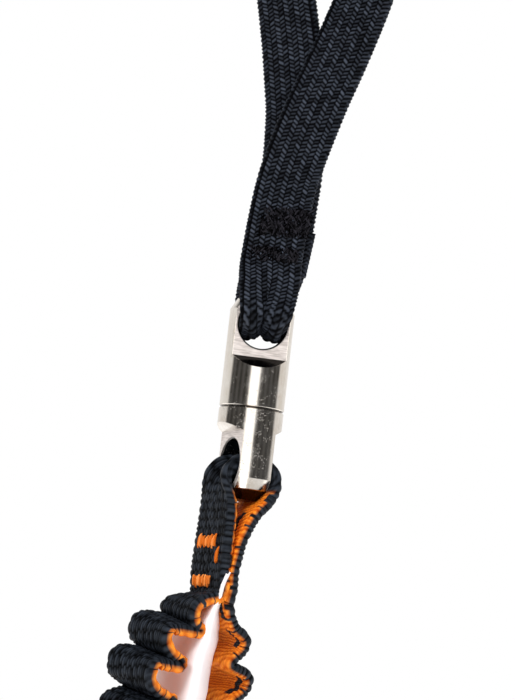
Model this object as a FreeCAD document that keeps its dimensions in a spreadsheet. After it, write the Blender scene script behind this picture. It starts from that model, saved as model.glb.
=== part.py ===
import FreeCAD, Part
import Sketcher
import math
import os

# A shock absorbing lanyard that hangs from its choke loop: loop strap, two-barrel swivel,
# sewn webbing with a gathered, elastic middle, and a screw-sleeve carabiner.
# Millimetres, +Z up. The origin is the inner top of the choke loop, where it sits on what holds it.

doc = FreeCAD.newDocument("Lanyard")
V = FreeCAD.Vector

DIMS = {
    "joint_drop": 182.0,      # inner top of the loop down to the parting line of the swivel
    "barrel_r": 6.5,
    "edge_c": 0.25,
    "tang_half": 3.5,
    "eye_r": 4.8,
    "eye_round": 0.5,
    "up_eye_z": 16.8,         # upper eye above the parting line
    "up_flat_z": 10.2,
    "up_ramp_z": 7.35,
    "up_wall_z": 19.6,
    "up_cham_z": 21.7,
    "up_end_z": 24.0,
    "cham_r": 5.3,
    "end_r": 3.2,
    "lo_eye_z": 11.2,         # lower eye below the parting line
    "lo_flat_z": 4.9,
    "lo_ramp_z": 3.0,
    "lo_wall_z": 14.2,
    "lo_cham_z": 16.3,
    "lo_end_z": 18.4,
    "parting_gap": 0.15,
    "bore_r": 4.7,
    "bore_depth": 7.4,
    "pin_r": 2.0,
    "pin_depth": 2.6,
    "collar_h": 2.2,
    "collar_bore_r": 2.06,
    "washer_t": 0.7,
    "washer_r": 4.2,
    "ball_r": 0.7,
    "ball_circle_r": 3.1,
    "head_r": 3.9,
    "head_h": 1.8,
    "upper_turn": 6.0,        # degrees about Z, the way the upper flats face
    "lower_turn": -67.0,
    "tab_r": 7.6,
    "rod_r": 3.8,
    "top_bar_z": 8.5,
    "corner_r": 9.0,
    "spine_x": 18.0,
    "gate_x": 19.0,
    "rod_end_z": 20.6,
    "basket_z": 58.0,
    "gate_r": 3.2,
    "rivet_z": 24.2,
    "rivet_r": 1.2,
    "rivet_head_r": 1.9,
    "fork_r": 3.1,
    "tongue_half": 1.3,
    "fork_slot_half": 1.5,
    "fork_slot_z": 27.9,
    "nose_end_z": 54.0,
    "gate_end_z": 53.7,
    "latch_half": 1.1,
    "latch_slot_half": 1.4,
    "latch_top_z": 51.0,
    "latch_slot_z": 50.6,
    "spring_bore_r": 1.7,
    "spring_bore_z": 40.0,
    "sleeve_r": 5.5,
    "sleeve_bore_r": 3.25,
    "sleeve_top_z": 31.0,
    "sleeve_end_z": 44.0,
    "captive_drop": 387.0,    # inner top of the loop down to the carabiner's captive eye
    "captive_turn": 1.2,      # degrees about Y, so that the carabiner hangs plumb
}

sheet = doc.addObject("Spreadsheet::Sheet", "dims")
for row, (alias, number) in enumerate(DIMS.items(), start=1):
    sheet.set(f"A{row}", alias)
    sheet.set(f"B{row}", str(number))
    sheet.setAlias(f"B{row}", alias)
doc.recompute()


def size(terms):
    """The value of a signed sum of named dimensions, such as ("barrel_r", "-edge_c")."""
    if isinstance(terms, str):
        terms = (terms,)
    total = 0.0
    for term in terms:
        if term.startswith("-"):
            total -= DIMS[term[1:]]
        else:
            total += DIMS[term]
    return total


def formula(terms):
    """The same sum written as an expression on the sheet."""
    if isinstance(terms, str):
        terms = (terms,)
    text = "0 mm"
    for term in terms:
        if term.startswith("-"):
            text += f" - dims.{term[1:]} * 1 mm"
        else:
            text += f" + dims.{term} * 1 mm"
    return text


ZERO = ()


def new_body(label):
    body = doc.addObject("PartDesign::Body", label)
    body.Label = label
    return body


def origin_part(body, role):
    """One of the body's own origin planes or axes."""
    return [o for o in body.Origin.OriginFeatures if o.Role == role][0]


def new_sketch(body, role, drop=ZERO):
    """A sketch on one of the body's origin planes, moved along the plane's normal by drop."""
    sketch = body.newObject("Sketcher::SketchObject", body.Label + "_sketch")
    sketch.AttachmentSupport = [(origin_part(body, role), "")]
    sketch.MapMode = "FlatFace"
    if drop:
        sketch.AttachmentOffset = FreeCAD.Placement(V(0, 0, size(drop)), FreeCAD.Rotation())
        sketch.setExpression("AttachmentOffset.Base.z", formula(drop))
    return sketch


def tie_point(sketch, geo, end, across, up):
    """Hold one point of the sketch at the two named distances from the sketch's origin."""
    for kind, terms in (("DistanceX", across), ("DistanceY", up)):
        n = sketch.addConstraint(Sketcher.Constraint(kind, -1, 1, geo, end, size(terms)))
        if terms:
            sketch.setExpression(f"Constraints[{n}]", formula(terms))


def outline(sketch, points):
    """A closed outline of straight lines through points given as pairs of named sums."""
    spots = [V(size(a), size(b), 0) for a, b in points]
    first = sketch.GeometryCount
    count = len(spots)
    for k in range(count):
        sketch.addGeometry(Part.LineSegment(spots[k], spots[(k + 1) % count]), False)
    for k in range(count):
        after = first + (k + 1) % count
        sketch.addConstraint(Sketcher.Constraint("Coincident", first + k, 2, after, 1))
        tie_point(sketch, first + k, 1, points[k][0], points[k][1])
    return sketch


def ring(sketch, across, up, radius):
    """A circle about a named point with a named radius."""
    centre = V(size(across), size(up), 0)
    geo = sketch.addGeometry(Part.Circle(centre, V(0, 0, 1), size(radius)), False)
    tie_point(sketch, geo, 3, across, up)
    n = sketch.addConstraint(Sketcher.Constraint("Radius", geo, size(radius)))
    sketch.setExpression(f"Constraints[{n}]", formula(radius))
    return sketch


def turned(body, sketch, cut=False):
    """A full turn of the sketch about the body's Z axis."""
    kind = "PartDesign::Groove" if cut else "PartDesign::Revolution"
    made = body.newObject(kind, body.Label + ("_groove" if cut else "_turned"))
    made.Profile = sketch
    made.ReferenceAxis = (origin_part(body, "Z_Axis"), [""])
    made.Angle = 360.0
    sketch.Visibility = False
    return made


def padded(body, sketch, depth):
    """The sketch given a named total depth, half to each side."""
    made = body.newObject("PartDesign::Pad", body.Label + "_pad")
    made.Profile = sketch
    made.Midplane = True
    made.Length = size(depth)
    made.setExpression("Length", formula(depth))
    return made


def pocketed(body, sketch):
    """The sketch cut right through, to both sides."""
    made = body.newObject("PartDesign::Pocket", body.Label + "_pocket")
    made.Profile = sketch
    made.Midplane = True
    made.Length = 80.0
    return made


def round_eye(body, base, radius, reach):
    """Round off the two rims of a cross hole whose axis is the body's Y."""
    doc.recompute()
    names = []
    for k, edge in enumerate(base.Shape.Edges, start=1):
        curve = edge.Curve
        if isinstance(curve, Part.Circle) and abs(curve.Radius - size(radius)) < 0.001:
            if abs(curve.Axis.y) > 0.99:
                names.append(f"Edge{k}")
    made = body.newObject("PartDesign::Fillet", body.Label + "_rims")
    made.Base = (base, names)
    made.Radius = size(reach)
    made.setExpression("Radius", formula(reach))
    return made


def place(thing, drop=ZERO, turn=None, tilt=None):
    """Stand a sub-part below the origin by a named sum, turned about Z or tilted about Y."""
    axis = V(0, 1, 0) if tilt else V(0, 0, 1)
    angle = DIMS[tilt or turn] if (tilt or turn) else 0.0
    thing.Placement = FreeCAD.Placement(V(0, 0, -size(drop)), FreeCAD.Rotation(axis, angle))
    if drop:
        thing.setExpression("Placement.Base.z", "-(" + formula(drop) + ")")
    if tilt or turn:
        thing.setExpression("Placement.Rotation.Angle", f"dims.{tilt or turn} * 1 deg")


# ---------------------------------------------------------------- the swivel

R = "barrel_r"
upper = new_body("swivel_upper_barrel")
profile = [
    (ZERO, "bore_depth"), ("bore_r", "bore_depth"), ("bore_r", ZERO), ((R, "-edge_c"), ZERO),
    (R, "edge_c"), (R, "up_wall_z"), ("cham_r", "up_cham_z"), ("end_r", "up_end_z"),
    (ZERO, "up_end_z"),
]
upper_turned = turned(upper, outline(new_sketch(upper, "XZ_Plane"), profile))
for side in ("", "-"):
    flats = new_sketch(upper, "YZ_Plane")
    outline(flats, [
        (side + "tang_half", "up_flat_z"), ((side + "rod_r", side + "tang_half"), "up_ramp_z"),
        ((side + "rod_r", side + "tang_half"), ("up_end_z", "edge_c")),
        (side + "tang_half", ("up_end_z", "edge_c")),
    ])
    pocketed(upper, flats)
hole = ring(new_sketch(upper, "XZ_Plane"), ZERO, "up_eye_z", "eye_r")
upper_hole = pocketed(upper, hole)
round_eye(upper, upper_hole, "eye_r", "eye_round")
place(upper, "joint_drop", turn="upper_turn")

lower = new_body("swivel_lower_barrel")
profile = [
    (ZERO, ("-parting_gap", "-pin_depth")), ("pin_r", ("-parting_gap", "-pin_depth")),
    ("pin_r", "-parting_gap"), ((R, "-edge_c"), "-parting_gap"),
    (R, ("-parting_gap", "-edge_c")), (R, "-lo_wall_z"), ("cham_r", "-lo_cham_z"),
    ("end_r", "-lo_end_z"), (ZERO, "-lo_end_z"),
]
turned(lower, outline(new_sketch(lower, "XZ_Plane"), profile))
for side in ("", "-"):
    flats = new_sketch(lower, "YZ_Plane")
    outline(flats, [
        (side + "tang_half", "-lo_flat_z"), ((side + "rod_r", side + "tang_half"), "-lo_ramp_z"),
        ((side + "rod_r", side + "tang_half"), ("-lo_end_z", "-edge_c")),
        (side + "tang_half", ("-lo_end_z", "-edge_c")),
    ])
    pocketed(lower, flats)
hole = ring(new_sketch(lower, "XZ_Plane"), ZERO, "-lo_eye_z", "eye_r")
lower_hole = pocketed(lower, hole)
round_eye(lower, lower_hole, "eye_r", "eye_round")
place(lower, "joint_drop", turn="lower_turn")

collar = new_body("swivel_retaining_collar")
turned(collar, outline(new_sketch(collar, "XZ_Plane"), [
    ("collar_bore_r", ZERO), ("bore_r", ZERO), ("bore_r", "collar_h"), ("collar_bore_r", "collar_h"),
]))
place(collar, "joint_drop")

# the bearing stack above the collar: fixed washer, balls, turning washer, pin head
fixed_top = ("collar_h", "washer_t")
balls_top = ("collar_h", "washer_t", "ball_r", "ball_r")
turning_top = ("collar_h", "washer_t", "ball_r", "ball_r", "washer_t")
head_top = ("collar_h", "washer_t", "ball_r", "ball_r", "washer_t", "head_h")

for label, low, high in (
    ("swivel_fixed_washer", ("collar_h",), fixed_top),
    ("swivel_turning_washer", balls_top, turning_top),
):
    washer = new_body(label)
    turned(washer, outline(new_sketch(washer, "XZ_Plane"), [
        ("collar_bore_r", low), ("washer_r", low), ("washer_r", high), ("collar_bore_r", high),
    ]))
    place(washer, "joint_drop")

pin = new_body("swivel_pin")
turned(pin, outline(new_sketch(pin, "XZ_Plane"), [
    (ZERO, ("-parting_gap", "-pin_depth")), ("pin_r", ("-parting_gap", "-pin_depth")),
    ("pin_r", turning_top), ("head_r", turning_top), ("head_r", head_top), (ZERO, head_top),
]))
place(pin, "joint_drop")

ball_list = []
for k in range(12):
    ball = doc.addObject("Part::Sphere", f"ball_{k}")
    ball.setExpression("Radius", formula("ball_r"))
    around = math.radians(30.0 * k)
    at = V(size("ball_circle_r") * math.cos(around), size("ball_circle_r") * math.sin(around),
           size(fixed_top) + size("ball_r"))
    ball.Placement = FreeCAD.Placement(at, FreeCAD.Rotation())
    ball_list.append(ball)
balls = doc.addObject("Part::Compound", "swivel_balls")
balls.Label = "swivel_balls"
balls.Links = ball_list
place(balls, "joint_drop")

# ---------------------------------------------------------------- fabric

CLEAR = 0.3
STRAP_HALF = 5.9
STRAP_T = 2.0
WEB_HALF = 6.3
WEB_T = 1.6


def prism(points, near, far, plane):
    """A straight prism. plane "XZ" spans Y from near to far, "YZ" spans X, "XY" spans Z."""
    if plane == "XZ":
        spots = [V(a, near, b) for a, b in points]
        way = V(0, far - near, 0)
    elif plane == "YZ":
        spots = [V(near, a, b) for a, b in points]
        way = V(far - near, 0, 0)
    else:
        spots = [V(a, b, near) for a, b in points]
        way = V(0, 0, far - near)
    return Part.Face(Part.makePolygon(spots + spots[:1])).extrude(way)


def fabric(label, shape, drop=ZERO, turn=None, tilt=None):
    """A sewn piece: a closed solid of its own, because a folded strip has no plain sketch."""
    made = doc.addObject("Part::Feature", label)
    made.Label = label
    made.Shape = Part.makeCompound(shape.Solids)
    place(made, drop, turn, tilt)
    return made


def joined(shapes):
    return shapes[0].multiFuse(shapes[1:]).removeSplitter()


def eye_of_fabric(half, thick, reach):
    """A strip folded down through a cross hole at the local origin, its two legs rising
    to either side of a flat tang. They meet at the height reach, or stay apart if it is 0.
    Local Y is the hole's axis."""
    inner = size("tang_half") + CLEAR
    outer = inner + thick
    swing = 8.3
    snug = size("eye_r") - CLEAR
    plug = Part.makeCylinder(snug, 2 * outer, V(0, -outer, 0), V(0, 1, 0))
    notch = prism([(0, -0.7), (-6, -6.2), (6, -6.2)], -outer, outer, "XZ")
    plug = plug.cut(notch)
    leg = [
        (-half, swing), (-half, 4.0), (-4.9, 1.3), (-4.3, -0.8), (-3.0, -2.6), (0.0, -0.7),
        (3.0, -2.6), (4.3, -0.8), (4.9, 1.3), (half, 4.0), (half, swing),
    ]
    front = prism(leg, -outer, -inner, "XZ")
    back = prism(leg, inner, outer, "XZ")
    if not reach:
        return joined([plug, front, back])
    close = thick
    crown = [
        (-outer, swing), (-close, reach), (close, reach), (outer, swing), (inner, swing),
        (0.4, reach - 1.2), (-0.4, reach - 1.2), (-inner, swing),
    ]
    return joined([plug, front, back, prism(crown, -half, half, "YZ")])


def ribbon(stations):
    """A closed strip lofted through cross sections, each a list of corners in the same order."""
    wires = [Part.makePolygon(corners + corners[:1]) for corners in stations]
    return Part.makeLoft(wires, True, True)


def between(table, z):
    """Straight-line reading of a table of (height, value) rows that go downwards."""
    for (high, a), (low, b) in zip(table, table[1:]):
        if low <= z <= high:
            return a + (b - a) * (high - z) / (high - low)
    return table[0][1] if z > table[0][0] else table[-1][1]


def eased(a, b, x):
    t = min(max((x - a) / (b - a), 0.0), 1.0)
    return t * t * (3 - 2 * t)


# the choke loop: right leg in front, left leg behind, both a quarter turn by the top.
# Heights are above the parting line of the swivel.
RIGHT_LEG = [(2.6, 47), (4.6, 57), (6.7, 64), (9.1, 71), (11.1, 77.5), (13.0, 84), (16.9, 100),
             (20.8, 120), (23.8, 140), (25.0, 157)]
LEFT_LEG = [(2.6, 47), (2.6, 54), (2.2, 61), (1.1, 67), (-0.2, 74), (-2.0, 82), (-6.8, 100),
            (-13.2, 120), (-20.6, 140), (-25.0, 157)]
TURN_FROM, TURN_TO = 58.0, 152.0
TOP_R = 25.0
TOP_Z = 157.0


def leg_depth(z):
    """How far a leg's middle lies in front of, or behind, the loop's plane."""
    return 1.0 + 1.6 * eased(48, 60, z) - 2.6 * eased(84, 150, z)


def strap_section(x, y, z, ahead, turn):
    """Corners of the strap where it runs along ahead (in XZ) with its width turned about it."""
    side = V(ahead.z, 0, -ahead.x)
    width = side * math.cos(turn) + V(0, 1, 0) * math.sin(turn)
    flat = ahead.cross(width)
    middle = V(x, y, z)
    a, b = width * STRAP_HALF, flat * (STRAP_T / 2)
    return [middle - a - b, middle + a - b, middle + a + b, middle - a + b]


def leg_sections(leg, front):
    found = []
    for k, (x, z) in enumerate(leg):
        x0, z0 = leg[max(k - 1, 0)]
        x1, z1 = leg[min(k + 1, len(leg) - 1)]
        ahead = V(x1 - x0, 0, z1 - z0).normalize()
        if k == len(leg) - 1:
            ahead = V(0, 0, 1)
        turn = math.radians(90) * eased(TURN_FROM, TURN_TO, z)
        found.append(strap_section(x, front * leg_depth(z), z, ahead, turn))
    return found


sections = leg_sections(RIGHT_LEG, -1)
for step in range(1, 12):
    around = math.pi * step / 12
    x, z = TOP_R * math.cos(around), TOP_Z + TOP_R * math.sin(around)
    ahead = V(-math.sin(around), 0, math.cos(around))
    sections.append(strap_section(x, 0.0, z, ahead, math.radians(90)))
for corners in reversed(leg_sections(LEFT_LEG, 1)):
    sections.append([corners[3], corners[2], corners[1], corners[0]])
loop = ribbon(sections)

stack_outline = [(-6.0, 26.8), (-5.2, 36), (-4.3, 46), (-3.7, 50), (8.9, 50), (8.7, 46), (8.0, 36),
                 (7.3, 26.8)]
STACK_HALF = 2.9
stack = prism(stack_outline, -STACK_HALF, STACK_HALF, "XZ")
eye = eye_of_fabric(6.4, STRAP_T, 12.0)
eye.rotate(V(0, 0, 0), V(0, 0, 1), DIMS["upper_turn"])
eye.translate(V(0, 0, DIMS["up_eye_z"]))
choke = fabric("choke_strap", joined([eye, stack, loop]), "joint_drop")

tack_pads = []
for low_z, high_z, left_x, right_x in ((35.1, 40.6, -2.3, 7.9), (29.7, 33.3, -3.9, 6.4)):
    for near, far in ((-STACK_HALF - 0.35, -STACK_HALF), (STACK_HALF, STACK_HALF + 0.35)):
        pad = [(left_x, low_z), (right_x, low_z), (right_x + 0.3, high_z), (left_x + 0.3, high_z)]
        tack_pads.append(prism(pad, near, far, "XZ"))
fabric("choke_bar_tacks", Part.makeCompound(tack_pads), "joint_drop")

# the sewn top of the webbing, in the lower tang's own frame: Y is the lower eye's axis
web = eye_of_fabric(WEB_HALF, WEB_T, 0.0)
web.rotate(V(0, 0, 0), V(0, 1, 0), 180)
left_run = [(-5.4, -8.3), (-5.5, -12.8), (-5.3, -19.8), (-5.6, -26.8), (-4.0, -26.8),
            (-3.7, -19.8), (-3.9, -12.8), (-3.8, -8.3)]
right_run = [(5.4, -8.3), (5.3, -9.2), (2.3, -12.8), (0.4, -16.8), (-1.9, -20.3), (-2.4, -26.8),
             (-4.0, -26.8), (-3.7, -19.8), (-1.2, -16.4), (0.8, -12.2), (3.8, -8.3)]
web = joined([web, prism(left_run, -WEB_HALF, WEB_HALF, "YZ"),
              prism(right_run, -WEB_HALF, WEB_HALF, "YZ")])
web.translate(V(0, 0, -DIMS["lo_eye_z"]))
fabric("web_sewn_top", web, "joint_drop", turn="lower_turn")

near_tacks = []
for face, way, mid_z in ((-5.52, -0.3, -26.4), (-5.45, -0.3, -34.7), (-2.2, 0.3, -34.7)):
    lean = [(face, mid_z + 1.1), (face + way, mid_z + 1.1), (face + way, mid_z - 1.1),
            (face, mid_z - 1.1)]
    near_tacks.append(prism(lean, -4.0, 4.0, "YZ").cut(web))
fabric("web_near_bar_tacks", Part.makeCompound(near_tacks), "joint_drop", turn="lower_turn")

# the gathered middle. Heights are below the parting line.
MIDDLE_X = [(-38.4, -3.7), (-42, -5.2), (-46, -6.5), (-53, -7.6), (-65, -9.4), (-80, -10.6),
            (-100, -10.6), (-120, -8.6), (-140, -4.8), (-155, -2.0), (-163, -1.0)]
MIDDLE_Y = [(-38.4, -1.56), (-53, -0.4), (-80, 0.0), (-163, 0.0)]
FACING = [(-38.4, 25), (-42, 31), (-46, 36), (-53, 44), (-65, 52), (-80, 60), (-100, 70),
          (-120, 80), (-140, 88), (-155, 90), (-163, 90)]
APART = [(-38.4, 1.8), (-42, 7), (-46, 13), (-53, 18), (-65, 18), (-80, 16), (-100, 14.5),
         (-120, 14), (-140, 13.5), (-150, 12.5), (-158, 5), (-163, 1.8)]
FOLD = [(-38.4, 0.0), (-42, 5.0), (-46, 6.0), (-153, 6.0), (-160, 2.5), (-163, 0.0)]
GATHER_TOP, GATHER_END, FOLD_LEGS = -38.4, -163.0, 34
FOLD_T = 2.1


def flat_section(z, offset, half_width, half_thick, shift=0.0):
    """Corners of a strip in the level plane z, offset along the way its outer face looks."""
    facing = math.radians(between(FACING, z))
    width = V(math.sin(facing), -math.cos(facing), 0)
    outward = V(-math.cos(facing), -math.sin(facing), 0)
    middle = V(between(MIDDLE_X, z), between(MIDDLE_Y, z), z) + outward * offset + width * shift
    a, b = width * half_width, outward * half_thick
    return [middle - a - b, middle + a - b, middle + a + b, middle - a + b]


for label, side in (("web_gathered_left", 1), ("web_gathered_right", -1)):
    sections = []
    for k in range(FOLD_LEGS + 1):
        z = GATHER_TOP + (GATHER_END - GATHER_TOP) * k / FOLD_LEGS
        swell = between(FOLD, z) / 2 * (1 if k % 2 else -1)
        thick = FOLD_T / 2 if 0 < k < FOLD_LEGS else WEB_T / 2
        sections.append(flat_section(z, side * (between(APART, z) / 2 + swell), WEB_HALF, thick))
    fabric(label, ribbon(sections), "joint_drop")

core = [flat_section(z, 0.0, 3.5, 1.1) for z in (-47, -53, -65, -80, -100, -120, -140, -147)]
fabric("elastic_core", ribbon(core), "joint_drop")

label_sections = []
for z in (-47, -50, -53, -59, -65, -72, -80):
    outer = flat_section(z, 0.0, 7.2, 1.95, 0.5)
    inner = flat_section(z, 0.0, 7.2, 1.55, 0.1)
    label_sections.append([outer[0], outer[1], outer[2], outer[3], inner[3], inner[2], inner[1],
                           inner[0]])
fabric("care_label", ribbon(label_sections), "joint_drop")

# the sewn far end, with its own eye round the carabiner's captive eye
FAR_EYE_Z = DIMS["joint_drop"] - DIMS["captive_drop"]
far_stack = prism([(-7.3, -163.4), (-6.3, FAR_EYE_Z + 11.6), (6.3, FAR_EYE_Z + 11.6),
                   (5.3, -163.4)], -WEB_T, WEB_T, "XZ")
far_eye = eye_of_fabric(WEB_HALF, WEB_T, 12.0)
far_eye.translate(V(0, 0, FAR_EYE_Z))
fabric("web_sewn_end", joined([far_eye, far_stack]), "joint_drop")

far_tacks = []
for mid_z, mid_x in ((-170.0, -0.8), (-184.0, -0.3)):
    for near, far in ((-WEB_T - 0.3, -WEB_T), (WEB_T, WEB_T + 0.3)):
        pad = [(mid_x - 4, mid_z - 1.1), (mid_x + 4, mid_z - 1.1), (mid_x + 4, mid_z + 1.1),
               (mid_x - 4, mid_z + 1.1)]
        far_tacks.append(prism(pad, near, far, "XZ"))
fabric("web_far_bar_tacks", Part.makeCompound(far_tacks), "joint_drop")

# ---------------------------------------------------------------- the carabiner
# Its own frame has the captive eye's centre as the origin, the spine at -X and the gate at +X.

frame = new_body("carabiner_body")
spine_path = new_sketch(frame, "XZ_Plane")
spine, gate_x, basket = size("spine_x"), size("gate_x"), -size("basket_z")
bend, bar, start = size("corner_r"), -size("top_bar_z"), -size("rod_end_z")
basket_r = (gate_x + spine) / 2
basket_x = (gate_x - spine) / 2
up = V(0, 0, 1)
spine_path.addGeometry([
    Part.LineSegment(V(gate_x, start, 0), V(gate_x, bar - bend, 0)),
    Part.ArcOfCircle(Part.Circle(V(gate_x - bend, bar - bend, 0), up, bend), 0, math.pi / 2),
    Part.LineSegment(V(gate_x - bend, bar, 0), V(bend - spine, bar, 0)),
    Part.ArcOfCircle(Part.Circle(V(bend - spine, bar - bend, 0), up, bend), math.pi / 2, math.pi),
    Part.LineSegment(V(-spine, bar - bend, 0), V(-spine, basket, 0)),
    Part.ArcOfCircle(Part.Circle(V(basket_x, basket, 0), up, basket_r), math.pi, 2 * math.pi),
], False)
rod = ring(new_sketch(frame, "XY_Plane", ("-rod_end_z",)), "gate_x", ZERO, "rod_r")
pipe = frame.newObject("PartDesign::AdditivePipe", "carabiner_rod")
pipe.Profile = rod
pipe.Spine = (spine_path, [f"Edge{k}" for k in range(1, 7)])
doc.recompute()
tab = new_sketch(frame, "XZ_Plane")
ring(tab, ZERO, ZERO, "tab_r")
padded(frame, tab, ("tang_half", "tang_half"))
foot = outline(new_sketch(frame, "XZ_Plane"), [
    ("-tab_r", ZERO), ("-tab_r", "-top_bar_z"), ("tab_r", "-top_bar_z"), ("tab_r", ZERO),
])
padded(frame, foot, ("tang_half", "tang_half"))
tongue = outline(new_sketch(frame, "XZ_Plane"), [
    (("gate_x", "-fork_r", "edge_c"), "-rod_end_z"), (("gate_x", "fork_r", "-edge_c"), "-rod_end_z"),
    (("gate_x", "fork_r", "-edge_c"), ("-rivet_z", "-rivet_r")),
    (("gate_x", "rivet_r"), ("-rivet_z", "-fork_r")),
    (("gate_x", "-rivet_r"), ("-rivet_z", "-fork_r")),
    (("gate_x", "-fork_r", "edge_c"), ("-rivet_z", "-rivet_r")),
])
padded(frame, tongue, ("tongue_half", "tongue_half"))
nose = new_sketch(frame, "XZ_Plane")
outline(nose, [
    ("gate_x", "-basket_z"), (("gate_x", "gate_r"), "-basket_z"),
    (("gate_x", "gate_r"), "-nose_end_z"), ("gate_x", "-nose_end_z"),
])
stub = frame.newObject("PartDesign::Revolution", "carabiner_nose")
stub.Profile = nose
stub.ReferenceAxis = (nose, ["Edge4"])
stub.Angle = 360.0
blade = outline(new_sketch(frame, "XZ_Plane"), [
    (("gate_x", "-rod_r", "latch_half", "edge_c"), "-nose_end_z"),
    (("gate_x", "rod_r", "-latch_half", "-edge_c"), "-nose_end_z"),
    (("gate_x", "rod_r", "-latch_half", "-edge_c"), "-latch_top_z"),
    (("gate_x", "-rod_r", "latch_half", "edge_c"), "-latch_top_z"),
])
padded(frame, blade, ("latch_half", "latch_half"))
pocketed(frame, ring(new_sketch(frame, "XZ_Plane"), "gate_x", "-rivet_z", "rivet_r"))
captive = pocketed(frame, ring(new_sketch(frame, "XZ_Plane"), ZERO, ZERO, "eye_r"))
round_eye(frame, captive, "eye_r", "eye_round")
place(frame, "captive_drop", tilt="captive_turn")


def on_carabiner(thing, x, z):
    """Stand a round part upright at a point of the carabiner's frame."""
    turn = FreeCAD.Rotation(V(0, 1, 0), DIMS["captive_turn"])
    at = V(0, 0, -DIMS["captive_drop"]) + turn.multVec(V(x, 0, z))
    thing.Placement = FreeCAD.Placement(at, turn)


def gate_shape():
    """The gate: a bored rod with a fork round the rivet and a slot over the latch blade."""
    x, r = size("gate_x"), size("gate_r")
    end, pivot = -size("gate_end_z"), -size("rivet_z")
    body_rod = Part.makeCylinder(r, pivot - end, V(x, 0, end), V(0, 0, 1))
    round_end = Part.makeCylinder(size("fork_r"), 2 * r, V(x, -r, pivot), V(0, 1, 0))
    upright = Part.makeCylinder(r, 2 * r, V(x, 0, pivot - r), V(0, 0, 1))
    solid = body_rod.fuse(round_end.common(upright)).removeSplitter()
    slot = size("fork_slot_half")
    top = -size("fork_slot_z")
    solid = solid.cut(Part.makeBox(20, 2 * slot, 20, V(x - 10, -slot, top)))
    latch = size("latch_slot_half")
    depth = size("gate_end_z") - size("latch_slot_z")
    solid = solid.cut(Part.makeBox(20, 2 * latch, depth + 5, V(x - 10, -latch, end - 5)))
    bore_end = -size("spring_bore_z")
    solid = solid.cut(
        Part.makeCylinder(size("spring_bore_r"), top - bore_end, V(x, 0, bore_end), V(0, 0, 1)))
    pin_hole = Part.makeCylinder(size("rivet_r"), 20, V(x, -10, pivot), V(0, 1, 0))
    return solid.cut(pin_hole)


fabric("carabiner_gate", gate_shape(), "captive_drop", tilt="captive_turn")

shank = 2 * size("gate_r") + 0.8
rivet = Part.makeCylinder(size("rivet_r") - 0.03, shank, V(0, -shank / 2, 0), V(0, 1, 0))
for end_y in (-size("gate_r") - 0.9, size("gate_r") + 0.02):
    head = Part.makeCylinder(size("rivet_head_r"), 0.88, V(0, end_y, 0), V(0, 1, 0))
    rivet = rivet.fuse(head)
rivet = rivet.removeSplitter()
rivet.translate(V(size("gate_x"), 0, -size("rivet_z")))
fabric("gate_rivet", rivet, "captive_drop", tilt="captive_turn")

SPRING_LOW, SPRING_HIGH = -39.7, -30.9
coil = Part.makeHelix(1.4, SPRING_HIGH - SPRING_LOW, 1.25)
wire_ring = Part.Wire([Part.makeCircle(0.24, V(1.25, 0, 0), V(0, 1, 0))])
spring = Part.Wire(coil).makePipeShell([wire_ring], True, True)
spring.translate(V(size("gate_x"), 0, SPRING_LOW))
fabric("gate_spring", spring, "captive_drop", tilt="captive_turn")

plunger = Part.makeCylinder(1.6, 2.3, V(0, 0, -30.5), V(0, 0, 1))
plunger = plunger.fuse(Part.makeCone(1.6, 0.9, 0.5, V(0, 0, -28.2), V(0, 0, 1))).removeSplitter()
plunger.translate(V(size("gate_x"), 0, 0))
fabric("gate_plunger", plunger, "captive_drop", tilt="captive_turn")

sleeve = new_body("gate_sleeve")
turned(sleeve, outline(new_sketch(sleeve, "XZ_Plane"), [
    ("sleeve_bore_r", "-sleeve_end_z"), (("sleeve_r", "-edge_c"), "-sleeve_end_z"),
    ("sleeve_r", ("-sleeve_end_z", "edge_c")), ("sleeve_r", ("-sleeve_top_z", "-edge_c")),
    (("sleeve_r", "-edge_c"), "-sleeve_top_z"), ("sleeve_bore_r", "-sleeve_top_z"),
]))
on_carabiner(sleeve, size("gate_x"), 0.0)

# ---------------------------------------------------------------- check and write

doc.recompute()
NODES = [
    "choke_strap", "choke_bar_tacks", "swivel_upper_barrel", "swivel_retaining_collar",
    "swivel_fixed_washer", "swivel_balls", "swivel_turning_washer", "swivel_pin",
    "swivel_lower_barrel", "web_sewn_top", "web_near_bar_tacks", "care_label",
    "web_gathered_left", "web_gathered_right", "elastic_core", "web_sewn_end",
    "web_far_bar_tacks", "carabiner_body", "carabiner_gate", "gate_rivet", "gate_spring",
    "gate_plunger", "gate_sleeve",
]
for thing in doc.Objects:
    for state in thing.State:
        if "Invalid" in state or "Error" in state:
            raise RuntimeError(f"{thing.Label} is {state}")
os.makedirs("parts", exist_ok=True)
for name in NODES:
    thing = doc.getObjectsByLabel(name)[0]
    shape = thing.Shape
    if shape.isNull() or not shape.isValid() or not shape.Solids:
        raise RuntimeError(f"{name} has no valid solid")
    shape.exportStep(f"parts/{name}.step")
    print(name, len(shape.Solids), "solids", round(shape.Volume, 1), "mm3", shape.BoundBox)
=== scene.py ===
import math
import bpy
import numpy as np
from mathutils import Matrix, Vector


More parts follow.
